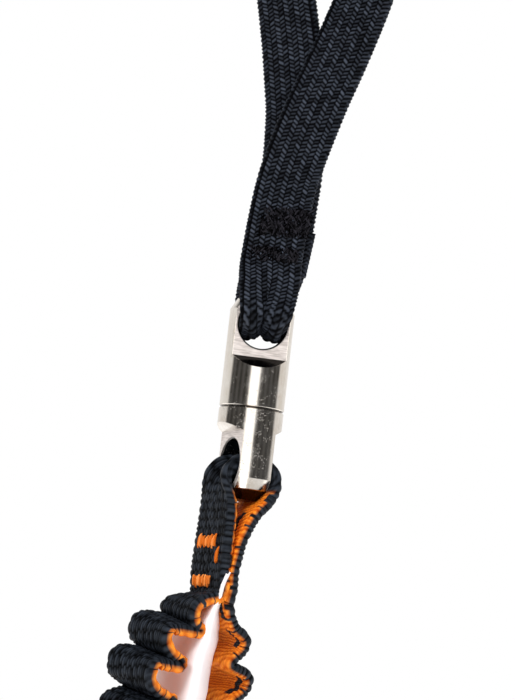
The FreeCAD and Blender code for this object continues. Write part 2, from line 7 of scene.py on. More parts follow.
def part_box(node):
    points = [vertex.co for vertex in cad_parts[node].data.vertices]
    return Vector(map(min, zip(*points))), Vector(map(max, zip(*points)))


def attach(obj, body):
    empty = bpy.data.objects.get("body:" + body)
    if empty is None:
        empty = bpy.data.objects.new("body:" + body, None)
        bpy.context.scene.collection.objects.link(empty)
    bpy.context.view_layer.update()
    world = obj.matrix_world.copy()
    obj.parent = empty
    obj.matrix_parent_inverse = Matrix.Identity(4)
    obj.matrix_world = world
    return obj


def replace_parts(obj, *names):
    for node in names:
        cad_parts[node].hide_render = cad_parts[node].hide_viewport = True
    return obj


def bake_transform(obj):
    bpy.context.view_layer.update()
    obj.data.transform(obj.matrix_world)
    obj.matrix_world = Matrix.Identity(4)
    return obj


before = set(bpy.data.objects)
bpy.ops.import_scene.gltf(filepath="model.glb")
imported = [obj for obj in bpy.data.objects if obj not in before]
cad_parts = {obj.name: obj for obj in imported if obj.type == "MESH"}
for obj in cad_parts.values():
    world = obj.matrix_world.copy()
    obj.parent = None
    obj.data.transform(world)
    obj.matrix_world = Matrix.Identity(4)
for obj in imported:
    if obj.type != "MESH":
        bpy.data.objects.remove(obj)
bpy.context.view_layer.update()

# Lengths are millimetres. Heights are above (+) or below (-) the swivel's parting line, on the
# swivel's axis. Lengths inside shaders are metres.
MM = 0.001
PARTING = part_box("swivel_upper_barrel")[0].z / MM
UPPER_TURN = math.radians(6)
LOWER_TURN = math.radians(-67)
rng = np.random.default_rng(7)


# ------------------------------------------------------------------ camera, light, floor

def look_along(obj, forward, up):
    """Point an object's -Z along forward with its Y as near up as it can be."""
    f = Vector(forward).normalized()
    right = f.cross(Vector(up)).normalized()
    true_up = right.cross(f)
    obj.rotation_mode = "QUATERNION"
    rows = [[right[k], true_up[k], -f[k]] for k in range(3)]
    obj.rotation_quaternion = Matrix(rows).to_quaternion()


FROM_BELOW = math.radians(6)
ROLL = math.radians(6.5)
DISTANCE = 1.6
FRAME_HEIGHT = 0.140
SENSOR = 36
cam_data = bpy.data.cameras.new("camera")
cam = bpy.data.objects.new("camera", cam_data)
bpy.context.scene.collection.objects.link(cam)
bpy.context.scene.camera = cam
cam_data.sensor_width = SENSOR
cam_data.lens = SENSOR * DISTANCE / FRAME_HEIGHT
cam_data.clip_start, cam_data.clip_end = 0.05, 20
target = Vector((-0.15, 0, PARTING + 12.0)) * MM
forward = Vector((0, math.cos(FROM_BELOW), math.sin(FROM_BELOW)))
cam.location = target - forward * DISTANCE
level_up = Vector((0, -math.sin(FROM_BELOW), math.cos(FROM_BELOW)))
look_along(cam, forward, level_up * math.cos(ROLL) + Vector((-math.sin(ROLL), 0, 0)))


def area_light(name, where, size, power):
    """A rectangular lamp that points at the object and isn't seen in gloss."""
    data = bpy.data.lights.new(name, "AREA")
    data.shape = "RECTANGLE"
    data.size, data.size_y = size
    data.energy = power
    light = bpy.data.objects.new(name, data)
    bpy.context.scene.collection.objects.link(light)
    light.location = where
    light.visible_glossy = False
    look_along(light, Vector((0, 0, -0.2)) - Vector(where), (0, 0, 1))


area_light("key", (-0.7, -1.1, 0.6), (0.5, 0.5), 15)
area_light("fill", (1.2, -0.8, 0.2), (0.6, 0.9), 6)
area_light("top", (0.1, -0.1, 1.2), (0.7, 0.6), 10)
area_light("back", (0.3, 1.4, 0.4), (1.2, 1.2), 10)

FLOOR, FLOOR_REACH = -0.56, 6
floor_mesh = bpy.data.meshes.new("floor")
floor_mesh.from_pydata([(x * FLOOR_REACH, y * FLOOR_REACH, FLOOR)
                        for x, y in ((-1, -1), (1, -1), (1, 1), (-1, 1))], [], [(0, 1, 2, 3)])
floor_mesh.update()
floor = bpy.data.objects.new("floor", floor_mesh)
bpy.context.scene.collection.objects.link(floor)
pale = bpy.data.materials.new("floor")
pale.use_nodes = True
pale.node_tree.nodes["Principled BSDF"].inputs["Base Color"].default_value = (0.93, 0.93, 0.93, 1)
pale.node_tree.nodes["Principled BSDF"].inputs["Roughness"].default_value = 0.9
floor_mesh.materials.append(pale)
floor.visible_glossy = False


# ------------------------------------------------------------------ shader building

class Nodes:
    """Short ways to add nodes and joins to one node tree."""

    def __init__(self, tree):
        self.tree = tree

    def put(self, socket, value):
        """Join a socket to a node's output, or give it a constant value."""
        if isinstance(value, bpy.types.NodeSocket):
            self.tree.links.new(value, socket)
        else:
            socket.default_value = value

    def node(self, kind, **values):
        made = self.tree.nodes.new(kind)
        for key, value in values.items():
            self.put(made.inputs[key.replace("_", " ")], value)
        return made

    def math(self, op, a, b=0.0):
        made = self.tree.nodes.new("ShaderNodeMath")
        made.operation = op
        self.put(made.inputs[0], a)
        self.put(made.inputs[1], b)
        return made.outputs[0]

    def total(self, *values):
        """The sum of several values."""
        found = values[0]
        for value in values[1:]:
            found = self.math("ADD", found, value)
        return found

    def times(self, a, b):
        return self.math("MULTIPLY", a, b)

    def away(self, a, b):
        """How far a is from b, whichever is larger."""
        return self.math("ABSOLUTE", self.math("SUBTRACT", a, b))

    def below(self, a, b):
        return self.math("LESS_THAN", a, b)

    def hypot(self, a, b):
        return self.math("SQRT", self.math("ADD", self.times(a, a), self.times(b, b)))

    def ramp(self, value, low, high, a=0.0, b=1.0, curve="LINEAR"):
        """a where value is at low, b where it is at high, and between them between."""
        made = self.node("ShaderNodeMapRange", Value=value, From_Min=low, From_Max=high,
                         To_Min=a, To_Max=b)
        made.interpolation_type = curve
        return made.outputs["Result"]

    def axes(self, vector):
        return self.node("ShaderNodeSeparateXYZ", Vector=vector).outputs


class Surface(Nodes):
    """The nodes of one material."""

    def __init__(self, name):
        self.mat = bpy.data.materials.new(name)
        self.mat.use_nodes = True
        super().__init__(self.mat.node_tree)
        self.shader = self.tree.nodes["Principled BSDF"].inputs

    def set(self, socket, value):
        self.put(self.shader[socket], value)

    def mix(self, factor, a, b):
        made = self.tree.nodes.new("ShaderNodeMix")
        made.data_type = "RGBA"
        self.put(made.inputs["Factor"], factor)
        self.put(made.inputs[6], a)
        self.put(made.inputs[7], b)
        return made.outputs[2]

    def mix_normals(self, factor, a, b):
        made = self.tree.nodes.new("ShaderNodeMix")
        made.data_type = "VECTOR"
        self.put(made.inputs["Factor"], factor)
        self.put(made.inputs[4], a)
        self.put(made.inputs[5], b)
        return made.outputs[1]

    def coords(self):
        return self.node("ShaderNodeTexCoord").outputs["Object"]

    def stretched(self, *factors):
        return self.node("ShaderNodeMapping", Vector=self.coords(), Scale=factors).outputs[0]

    def noise(self, scale, detail, vector=None):
        made = self.node("ShaderNodeTexNoise", Scale=scale, Detail=detail, Roughness=0.55,
                         Vector=vector or self.coords())
        return made.outputs[0]

    def bump(self, height, distance, strength=1.0):
        made = self.node("ShaderNodeBump", Strength=strength, Distance=distance, Height=height)
        return made.outputs[0]

    def attribute(self, name):
        made = self.tree.nodes.new("ShaderNodeAttribute")
        made.attribute_name = name
        return made.outputs["Fac"]


def rgb(r, g, b):
    return (r, g, b, 1)


# ------------------------------------------------------------------ studio

# Diffuse light falls mostly from above. In gloss the front half of the studio is dark but for one
# tall lamp behind the camera, and the pale walls begin level with the object. Angles are
# degrees round from the front.
LAMP_HALF, LAMP_EDGE, LAMP_POWER = 17, 2, 2.3
DARK_TO, WALL_EDGE, WALL_POWER = 95, 5, 0.98
STREAK_RATE, STREAK_POWER, DARK_POWER = 19.0, 0.045, 0.085
world = bpy.data.worlds.new("studio")
bpy.context.scene.world = world
world.use_nodes = True
world.node_tree.nodes.clear()
w = Nodes(world.node_tree)


def studio_range(value, low, high, a, b):
    return w.ramp(value, low, high, a, b, "SMOOTHSTEP")


def studio_light(colour, strength):
    return w.node("ShaderNodeBackground", Color=rgb(*colour), Strength=strength).outputs[0]


def studio_pick(factor, a, b):
    """The light b where factor is 1, and a where it is 0."""
    made = w.tree.nodes.new("ShaderNodeMixShader")
    for socket, value in zip(made.inputs, (factor, a, b)):
        w.put(socket, value)
    return made.outputs[0]


x, y, z = w.axes(w.node("ShaderNodeTexCoord").outputs["Generated"])
round_front = w.math("ABSOLUTE", w.math("ARCTAN2", x, w.times(y, -1.0)))
lamp = studio_range(round_front, math.radians(LAMP_HALF - LAMP_EDGE),
                    math.radians(LAMP_HALF + LAMP_EDGE), LAMP_POWER, 0.0)
wall = studio_range(round_front, math.radians(DARK_TO - WALL_EDGE),
                    math.radians(DARK_TO + WALL_EDGE), 0.0, WALL_POWER)
streaks = w.times(w.math("SINE", w.times(round_front, STREAK_RATE)), STREAK_POWER)
level = w.total(lamp, wall, streaks, DARK_POWER)
ceiling = studio_range(z, 0.42, 0.6, 1.0, 0.04)
floor_glow = studio_range(z, -0.5, -0.3, 0.9, 0.0)
gloss = w.total(w.times(level, ceiling), floor_glow)
seen = studio_light((1, 1, 1), 1.0)
mirrored = studio_light((1, 0.98, 0.96), gloss)
diffuse = studio_light((1, 0.985, 0.97), studio_range(z, -0.6, 0.7, 0.25, 0.75))
rays = w.node("ShaderNodeLightPath").outputs
either = studio_pick(rays["Is Glossy Ray"], diffuse, mirrored)
w.node("ShaderNodeOutputWorld", Surface=studio_pick(rays["Is Camera Ray"], either, seen))
bpy.context.scene.view_settings.view_transform = "Standard"


# ------------------------------------------------------------------ materials

def fabric_material(name, dark, light, orange=None, rough=0.72):
    """Yarn: the attribute relief is 0 between floats and 1 on them, and the colour follows it from
    dark to light, as painted shade between the floats and a painted sheen on them. orange is the
    shaded and the lit colour of a second yarn, worn where the attribute tone is 1."""
    m = Surface(name)
    relief = m.attribute("relief")
    mottle = m.noise(900, 4)
    # painted shade and sheen: dark between the floats and light on them, times a random mottle
    painted_sheen_and_mottle = m.times(m.ramp(relief, 0.12, 0.85), m.ramp(mottle, 0.3, 0.7, 0.6, 1.0))
    colour = m.mix(painted_sheen_and_mottle, rgb(*dark), rgb(*light))
    if orange:
        colour = m.mix(m.attribute("tone"), colour, m.mix(painted_sheen_and_mottle, *(rgb(*c) for c in orange)))
    m.set("Base Color", colour)
    m.set("Roughness", m.ramp(mottle, 0.3, 0.7, rough - 0.1, rough + 0.12))
    # the gaps between floats lie deep and give back almost nothing
    m.set("Specular IOR Level", m.ramp(relief, 0.0, 0.8, 0.02, 0.24))
    m.set("Normal", m.bump(m.noise(5200, 2), 0.00012, 0.55))
    return m.mat


# the dark and the light colour of each yarn below are that yarn in painted shade and with a painted
# sheen
BRAID = fabric_material("black_braid", (0.0012, 0.0013, 0.0018), (0.052, 0.063, 0.087))
THREAD_BLACK = fabric_material("black_thread", (0.0008, 0.0008, 0.001), (0.018, 0.017, 0.023))
WEB = fabric_material("two_tone_web", (0.001, 0.0011, 0.0014), (0.022, 0.028, 0.039),
                      orange=((0.46, 0.062, 0.003), (1.0, 0.32, 0.022)), rough=0.6)
THREAD_ORANGE = fabric_material("orange_thread", (0.55, 0.12, 0.012), (1.0, 0.36, 0.085))
ELASTIC = fabric_material("elastic_rib", (0.25, 0.24, 0.22), (0.72, 0.7, 0.66))


def label_material():
    m = Surface("white_label")
    m.set("Base Color", m.mix(m.ramp(m.noise(120, 2), 0.35, 0.7),
                              rgb(0.86, 0.82, 0.84), rgb(0.93, 0.87, 0.88)))
    m.set("Roughness", 0.5)
    m.set("Sheen Weight", 0.2)
    m.set("Normal", m.bump(m.noise(2600, 3), 0.00006, 0.5))
    return m.mat


def turned_steel(m, polish, pits):
    """Colour, roughness and normal of polished round steel, scattered with small pits."""
    mottled = m.noise(260, 4)
    lathe = m.noise(1.0, 2, m.stretched(120, 120, 9000))
    dots = m.node("ShaderNodeTexVoronoi", Scale=1.0, Vector=m.stretched(4300, 4300, 2500))
    dot = m.ramp(dots.outputs["Distance"], 0.12, 0.3, 1.0, 0.0)
    pit = m.times(dot, m.ramp(m.noise(700, 4), 0.6 - 0.2 * pits, 0.78))
    rough = m.total(m.ramp(mottled, 0.3, 0.75, polish - 0.05, polish + 0.08), m.times(pit, 0.6))
    base = m.mix(m.ramp(mottled, 0.3, 0.7), rgb(0.56, 0.51, 0.45), rgb(0.68, 0.65, 0.61))
    height = m.math("SUBTRACT", m.times(lathe, 0.02), pit)
    return base, rough, m.bump(height, 0.00006)


def bearing_material():
    m = Surface("bearing_steel")
    base, rough, normal = turned_steel(m, 0.2, 0.5)
    m.set("Base Color", base)
    m.set("Metallic", 1.0)
    m.set("Roughness", rough)
    m.set("Normal", normal)
    return m.mat


# places on the barrels, in millimetres
FLAT_OFF, FLAT_SLACK = 3.5, 0.06
INSIDE_R = 6.43
HOLE_RIM = (5.05, 5.25)
SEAM_HALF = 0.11
LOW_END, LOW_END_SOFT = -16.5, 0.3


def barrel_material(name, turn, eye_z, pits, cutter=None):
    """Turned and polished round the barrel, and milled across on its two flats. turn is the way
    the flats face, eye_z the height of the cross hole, cutter the heights between which the
    cutter ran out beside the flats."""
    m = Surface(name)
    base, rough, normal = turned_steel(m, 0.16, pits)
    x, y, z = m.axes(m.coords())
    base = m.mix(m.below(m.away(z, PARTING * MM), SEAM_HALF * MM), base, rgb(0.1, 0.085, 0.075))
    across = m.total(m.times(x, -math.sin(turn)), m.times(y, math.cos(turn)))
    depth = m.math("ABSOLUTE", across)
    inside = m.below(m.hypot(x, y), INSIDE_R * MM)
    on_flat = m.times(m.below(m.away(depth, FLAT_OFF * MM), FLAT_SLACK * MM), inside)
    streak = m.ramp(m.noise(1.0, 4, m.stretched(420, 420, 4200)), 0.35, 0.65)
    milled = m.mix(streak, rgb(0.42, 0.375, 0.35), rgb(0.72, 0.66, 0.63))
    base = m.mix(on_flat, base, milled)
    # the hole's wall and the blunt low end stay in shadow
    sideways = m.total(m.times(x, math.cos(turn)), m.times(y, math.sin(turn)))
    from_hole = m.hypot(sideways, m.math("SUBTRACT", z, (PARTING + eye_z) * MM))
    rim = [edge * MM for edge in HOLE_RIM]
    base = m.mix(m.ramp(from_hole, *rim, 1.0, 0.0), base, rgb(0.1, 0.095, 0.09))
    low_end = (PARTING + LOW_END) * MM
    base = m.mix(m.ramp(z, low_end, low_end + LOW_END_SOFT * MM, 1.0, 0.0), base,
                 rgb(0.02, 0.014, 0.01))
    # painted shade: beside the flats, between the cutter heights, the steel is coloured almost
    # black so that the run-out shelf stays dark
    if cutter:
        low, high = ((PARTING + edge) * MM for edge in cutter)
        beside = m.times(m.math("GREATER_THAN", depth, (FLAT_OFF + 0.07) * MM), inside)
        between = m.times(m.math("GREATER_THAN", z, low), m.below(z, high))
        base = m.mix(m.times(beside, between), base, rgb(0.02, 0.018, 0.016))
    m.set("Base Color", base)
    m.set("Metallic", m.math("SUBTRACT", 1.0, m.times(on_flat, 0.75)))
    m.set("Roughness", m.total(m.times(rough, m.math("SUBTRACT", 1.0, on_flat)),
                               m.times(on_flat, 0.42)))
    m.set("Normal", m.mix_normals(on_flat, normal, m.bump(streak, 0.00003, 0.6)))
    return m.mat


def anodised_material(name, colour, knurl=0.0):
    """Matt anodised aluminium, rubbed lighter in places; knurl is the depth of a diamond knurl."""
    m = Surface(name)
    grain = m.noise(3000, 3)
    wear = m.ramp(m.noise(180, 5), 0.62, 0.75)
    m.set("Base Color", m.mix(wear, rgb(*colour), rgb(*(0.5 * c + 0.08 for c in colour))))
    m.set("Metallic", 0.85)
    m.set("Roughness", m.ramp(grain, 0.3, 0.7, 0.3, 0.45))
    normal = m.bump(grain, 0.00002, 0.5)
    if knurl:
        sleeve_r, ridge_rate = 0.0052, 5200.0
        x, y, z = m.axes(m.coords())
        middle = sum(corner.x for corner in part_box("gate_sleeve")) / 2
        around = m.times(m.math("ARCTAN2", y, m.math("SUBTRACT", x, middle)), sleeve_r)
        ridges = [m.math("ABSOLUTE", m.math("SINE", m.times(m.total(around, m.times(z, lean)),
                                                            ridge_rate))) for lean in (1.0, -1.0)]
        knurled = m.node("ShaderNodeBump", Strength=1.0, Distance=knurl, Normal=normal,
                         Height=m.math("MINIMUM", *ridges))
        normal = knurled.outputs[0]
    m.set("Normal", normal)
    return m.mat


# ------------------------------------------------------------------ mesh building

def eased(a, b, x):
    """0 up to a, 1 from b on, and smooth between them."""
    t = np.clip((np.asarray(x, float) - a) / (b - a), 0, 1)
    return t * t * (3 - 2 * t)


def table(rows, x):
    """Straight-line reading of a table of (height, value) rows."""
    rows = sorted(rows)
    return np.interp(x, [r[0] for r in rows], [r[1] for r in rows])


def unit(v):
    return v / np.linalg.norm(v, axis=-1, keepdims=True)


def travelled(points):
    """The way along a line up to each of its points; the first three columns are the place."""
    return np.r_[0, np.cumsum(np.linalg.norm(np.diff(points[:, :3], axis=0), axis=1))]


def evenly(points, step):
    """Spread points evenly along their line."""
    way = travelled(points)
    at = np.linspace(0, way[-1], max(3, int(round(way[-1] / step))) + 1)
    return np.stack([np.interp(at, way, points[:, k]) for k in range(points.shape[1])], 1)


def ring(rows, sigma, step, fine=0.1):
    """A closed line through rows, rounded off over a length of about sigma and evenly spaced.
    Its first point comes again at its end."""
    points = evenly(np.vstack([rows, rows[:1]]), fine)[:-1]
    reach = int(4 * sigma / fine)
    kernel = np.exp(-0.5 * (np.arange(-reach, reach + 1) * fine / sigma) ** 2)
    kernel /= kernel.sum()
    padded = np.vstack([points[-reach:], points, points[:reach]])
    points = np.stack([np.convolve(column, kernel, "valid") for column in padded.T], 1)
    return evenly(np.vstack([points, points[:1]]), step)


def build(name, verts, quads, caps, floats, material):
    """A mesh object from millimetre points round the swivel's axis, z from the parting line.
    floats are point attributes by name."""
    mesh = bpy.data.meshes.new(name)
    placed = (verts + (0, 0, PARTING)) * MM
    mesh.vertices.add(len(verts))
    mesh.vertices.foreach_set("co", placed.ravel())
    mesh.loops.add(4 * len(quads) + sum(len(c) for c in caps))
    flat = np.concatenate([np.asarray(quads).ravel()] + [np.asarray(c) for c in caps])
    mesh.loops.foreach_set("vertex_index", flat.astype(np.int32))
    sizes = np.r_[np.full(len(quads), 4), [len(c) for c in caps]].astype(np.int32)
    starts = np.r_[0, np.cumsum(sizes)[:-1]].astype(np.int32)
    mesh.polygons.add(len(sizes))
    mesh.polygons.foreach_set("loop_start", starts)
    mesh.polygons.foreach_set("loop_total", sizes)
    mesh.update(calc_edges=True)
    mesh.polygons.foreach_set("use_smooth", np.ones(len(sizes), bool))
    for key, values in floats.items():
        layer = mesh.attributes.new(key, "FLOAT", "POINT")
        layer.data.foreach_set("value", np.asarray(values, np.float32).ravel())
    mesh.validate()
    mesh.materials.append(material)
    obj = bpy.data.objects.new(name, mesh)
    bpy.context.scene.collection.objects.link(obj)
    return obj


def tube_faces(n, m, closed=False):
    """Quads of a tube with n rings of m points, and its two end caps unless it is closed."""
    rows = n if closed else n - 1
    i, j = np.meshgrid(np.arange(rows), np.arange(m), indexing="ij")
    a, b = i * m + j, i * m + (j + 1) % m
    up = ((i + 1) % n) * m
    quads = np.stack([a, b, up + (j + 1) % m, up + j], -1).reshape(-1, 4)
    caps = () if closed else (np.arange(m)[::-1], (n - 1) * m + np.arange(m))
    return quads, caps


# the parts of a band's section, in order round it
OUTER, PLUS_EDGE, INNER, MINUS_EDGE = 0, 1, 2, 3


def section(half, thick, step, edge_points=4):
    """Points round a flat band's section: place across, place through, way round and part, and
    the whole way round."""
    r = thick / 2
    across = np.linspace(-half + r, half - r, int(round(2 * (half - r) / step)) + 1)
    turn = np.linspace(math.pi / 2, -math.pi / 2, edge_points + 2)[1:-1]
    face = np.full(len(across), r)
    bulge = half - r + r * np.cos(turn)
    u = np.concatenate([across, bulge, across[::-1], -bulge])
    d = np.concatenate([face, r * np.sin(turn), -face, -r * np.sin(turn)])
    part = np.repeat((OUTER, PLUS_EDGE, INNER, MINUS_EDGE), (len(face), edge_points) * 2)
    way = np.r_[0, np.cumsum(np.hypot(np.diff(u, append=u[0]), np.diff(d, append=d[0])))]
    return u, d, way[:-1], part, way[-1]


def band(name, line, half, thick, pattern, material, fold, relief, step=0.22, closed=False):
    """A woven band. line has rows x, y, z, wx, wy, wz, share of fold, way along. fold is the
    folded section's half as rows of (place across the flat band, across, outward). pattern
    gives how high the yarn stands, how light it is and its tone; relief is the yarn's height."""
    crush, pleat_depth, pleat_across, pleat_along, nearby = 0.3, 0.32, 2.6, 0.55, 0.3
    centre, w0, share, along = line[:, :3], line[:, 3:6], line[:, 6:7], line[:, 7]
    if closed:
        ahead = unit(np.roll(centre, -1, 0) - np.roll(centre, 1, 0))
    else:
        ahead = unit(np.gradient(centre, axis=0))
    w = unit(w0 - (w0 * ahead).sum(1, keepdims=True) * ahead)
    out = np.cross(w, ahead)
    u, d, around, part, girth = section(half, thick, step)
    up, light, tone = pattern(along[:, None], around[None], part[None], u[None], girth)
    # the crumpled part turns its second colour in, so none of it shows there
    tone = tone * (1 - eased(0.02, 0.3, share))
    flat, fold_x, fold_o = np.array(fold).T

    def folded(at):
        x = np.sign(at) * np.interp(np.abs(at), flat, fold_x)
        return (1 - share) * at + share * x, share * np.interp(np.abs(at), flat, fold_o)

    # the section's middle line, and its direction at each point
    core = np.clip(u, thick / 2 - half, half - thick / 2)
    x, o = folded(core[None])
    x1, o1 = folded(core[None] + nearby)
    x0, o0 = folded(core[None] - nearby)
    size = np.hypot(x1 - x0, o1 - o0)
    tx, to = (x1 - x0) / size, (o1 - o0) / size
    swell = (1 + relief * up / (thick / 2)) * (1 - crush * share)
    pleat = pleat_depth * np.sqrt(np.clip(share, 0, 1)) * np.sin(
        u[None] * pleat_across + along[:, None] * pleat_along)
    rise = d[None] * swell + pleat
    reach = (u - core)[None] * swell
    across = x + reach * tx - rise * to
    outward = o + reach * to + rise * tx
    verts = centre[:, None] + w[:, None] * across[..., None] + out[:, None] * outward[..., None]
    n, m = verts.shape[:2]
    quads, caps = tube_faces(n, m, closed)
    floats = {"relief": np.broadcast_to(light, (n, m)), "tone": np.broadcast_to(tone, (n, m))}
    return build(name, verts.reshape(-1, 3), quads, caps, floats, material)


def cells(place):
    """The number of the cell a place falls in, and how far it is past the cell's middle."""
    number = np.floor(place)
    return number, place - number - 0.5


def chance_of(row, col):
    """A number from 0 to 1 for each crossing of a weave, without any order to be seen."""
    mixed = np.sin(row * 12.9898 + col * 78.233) * 43758.5453
    return mixed - np.floor(mixed)


def herringbone(columns, pitch, lean):
    """Braid: columns of short slanting yarns, leaning the other way in each next column."""
    def pattern(s, v, part, u, girth):
        col, x = cells(v / girth * columns)
        sign = np.where(col % 2 == 0, 1.0, -1.0)
        uneven = 0.12 * np.sin(s * 1.7 + col * 2.1)
        row, f = cells(s / pitch + sign * x * lean + 0.25 * sign + uneven)
        yarn = np.clip(1 - (np.abs(f) / 0.4) ** 2, 0, 1)
        up = yarn * np.clip(1 - (2 * np.abs(x)) ** 6, 0, 1)
        # painted shade and sheen: lightness follows the yarn's height, times a random tone, and
        # columns leaning one way get a painted sheen
        return up, up * (0.35 + 0.5 * chance_of(row, col)) * (1.0 + 0.22 * sign), 0.0 * up
    return pattern


def threads(name, lines, radius, material, sides, spread):
    """Round threads along several lines of points, in one mesh. spread is how much their
    thickness differs."""
    any_way, end_size = (0.31, 0.52, 0.79), 0.55
    verts, quads, caps, heights = [], [], [], []
    base = 0
    angle = np.arange(sides) * 2 * math.pi / sides
    for line in lines:
        line = np.asarray(line, float)
        n = len(line)
        ahead = unit(np.gradient(line, axis=0))
        side = unit(np.cross(ahead, any_way))
        other = np.cross(ahead, side)
        size = radius * (1 + spread * (rng.random() - 0.5)) * np.ones(n)
        size[[0, -1]] *= end_size
        circle = (np.cos(angle)[None, :, None] * side[:, None]
                  + np.sin(angle)[None, :, None] * other[:, None])
        verts.append((line[:, None] + circle * size[:, None, None]).reshape(-1, 3))
        q, c = tube_faces(n, sides)
        quads.append(q + base)
        caps += [k + base for k in c]
        heights.append(np.full(n * sides, rng.random() ** 1.7))
        base += n * sides
    floats = {"relief": np.concatenate(heights)}
    return build(name, np.vstack(verts), np.vstack(quads), caps, floats, material)


# ------------------------------------------------------------------ choke strap

STRAP_HALF, STRAP_THICK, STRAP_STEP = 6.15, 2.0, 0.2
# the strap crumpled into the swivel's hole: a crease up its middle and a lobe on each side
STRAP_FOLD = [(0, 0, 0), (0.7, 0.22, 1.1), (1.5, 0.55, 2.4), (2.3, 1.0, 3.5), (3.1, 1.6, 4.25),
              (3.9, 2.35, 4.6), (4.7, 3.1, 4.3), (5.5, 3.7, 3.6), (6.3, 4.1, 2.7)]
# (height, place across) of the two legs
STRAP_RIGHT = [(22, 0.3), (26, 0.35), (29, 0.5), (36, 0.9), (43, 1.5), (47, 2.1), (51, 3.0),
               (57, 4.6), (64, 6.7), (71, 9.1), (77.5, 11.1), (84, 13.0), (100, 16.9),
               (120, 20.8), (140, 23.8), (157, 25.0)]
STRAP_LEFT = [(22, 1.0), (29, 1.5), (36, 2.1), (47, 2.7), (54, 2.6), (61, 2.2), (67, 1.1),
              (74, -0.2), (82, -2.0), (100, -6.8), (120, -13.2), (140, -20.6), (157, -25.0)]
# half the gap between the legs' middles, and the way they face, by height
STACK_DEPTH = [(27, 3.2), (31, 2.1), (37, 2.0), (41, 1.3), (48, 1.05), (60, 2.6), (84, 2.6),
               (150, 0.0), (157, 0)]
STRAP_TURN = [(22, 0), (31, -12), (60, -16), (84, -24), (152, -90), (157, -90)]
LEG_FOOT, LOOP_TOP, LOOP_R = 29.5, 157.0, 25.0
# from the bottom of the bend round the eye: (depth, height, share of fold)
EYE_RUN = [(0.0, 19.2, 1.0), (-2.2, 19.2, 1.0), (-3.7, 19.1, 0.88), (-4.6, 19.3, 0.6),
           (-5.0, 20.2, 0.34), (-4.8, 22.8, 0.13), (-4.0, 26.0, 0.02)]
# the crumpled run at the eye is stretched round the bend, so it takes this many more picks
EYE_PICKS = 1.1
BRAID_WEAVE = herringbone(24, 0.88, 0.6)


def strap_leg(places, side):
    """Rows up one leg of the strap, -1 for the one in front and 1 for the one behind."""
    rows = []
    for z in np.arange(LEG_FOOT, LOOP_TOP, 2.5):
        turn = math.radians(table(STRAP_TURN, z))
        rows.append((table(places, z), side * table(STACK_DEPTH, z), z,
                     math.cos(turn), math.sin(turn), 0, 0))
    return rows


def strap_line():
    """The strap's middle: round the swivel's eye, up the right leg, over, down the left leg."""
    c, s = math.cos(UPPER_TURN), math.sin(UPPER_TURN)
    front = [(-y * s + 0.3 * (1 - eased(29, 17, z)), y * c, z, c, s, 0, curl)
             for y, z, curl in EYE_RUN]
    over = [(LOOP_R * math.cos(a), 0, LOOP_TOP + LOOP_R * math.sin(a), 0, -1, 0, 0)
            for a in np.linspace(0, math.pi, 40)]
    back = [(y * s + table([(17, 0), (27, 1.2)], z), -y * c, z, c, s, 0, curl)
            for y, z, curl in reversed(EYE_RUN[1:])]
    line = ring(np.array(front + strap_leg(STRAP_RIGHT, -1) + over
                         + strap_leg(STRAP_LEFT, 1)[::-1] + back, float), 1.0, STRAP_STEP)
    way = travelled(line)
    length = way[-1]
    way += EYE_PICKS * np.cumsum(np.clip(line[:, 6], 0, 1)) * STRAP_STEP
    return np.hstack([line, way[:, None]])[:-1], length


line, strap_length = strap_line()
strap = band("choke_strap_braid", line, STRAP_HALF, STRAP_THICK, BRAID_WEAVE, BRAID, STRAP_FOLD,
             relief=0.26, step=0.17, closed=True)
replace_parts(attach(strap, "choke_loop"), "choke_strap")


def counted(rows, step):
    """An open line, evenly spaced, with the way along it as its last column."""
    points = evenly(np.array(rows, float), step)
    return np.hstack([points, (step * np.arange(len(points)))[:, None]])


# the strap's other end, sewn between the two layers, with its heat-cut corner showing
TAIL_HALF, TAIL_THICK, TAIL_TURN = 6.2, 1.7, math.radians(-12)
tail = counted([(1.6 + 0.11 * (z - 27), 0.0, z, math.cos(TAIL_TURN), math.sin(TAIL_TURN), 0, 0)
                for z in np.arange(28.0, 37.6, 1.5)], 0.24)
strap_tail = band("choke_strap_tail", tail, TAIL_HALF, TAIL_THICK, BRAID_WEAVE, BRAID, STRAP_FOLD,
                  relief=0.2)
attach(strap_tail, "choke_loop")


# ------------------------------------------------------------------ bar tacks of the choke strap

def stack_face(x, z, side):
    """Depth of the strap stack's face, -1 for the one in front and 1 for the one behind."""
    turn = math.radians(table(STRAP_TURN, z))
    places = STRAP_RIGHT if side < 0 else STRAP_LEFT
    lean = (x - table(places, z)) * math.tan(turn)
    return side * (table(STACK_DEPTH, z) + STRAP_THICK / 2 + 0.12) + lean


def tangled_tack(name, left, right, low, high, count, side):
    """A dense zigzag bar tack, worn and tangled: short threads lying over each other."""
    lines = []
    for k in range(count):
        z0 = low + (high - low) * rng.random()
        x0 = left + (right - left) * (k + rng.random()) / count
        slant = rng.uniform(-1.3, 1.3)
        span = rng.uniform(0.6, 1.7)
        t = np.linspace(-0.5, 0.5, 7)
        x = x0 + t * span * slant + 0.1 * np.sin(6 * t + 6 * rng.random())
        z = np.clip(z0 + t * span, low - 0.2, high + 0.2)
        lean = (z - low) * 0.1
        arch = 0.16 + 0.28 * rng.random()
        y = np.array([stack_face(a, c, side) for a, c in zip(x + lean, z)])
        y += side * (arch * np.cos(math.pi * t) - 0.05)
        lines.append(np.stack([x + lean, y, z], 1))
    obj = threads(name, lines, 0.15, THREAD_BLACK, sides=5, spread=0.5)
    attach(obj, "choke_loop")
    return obj


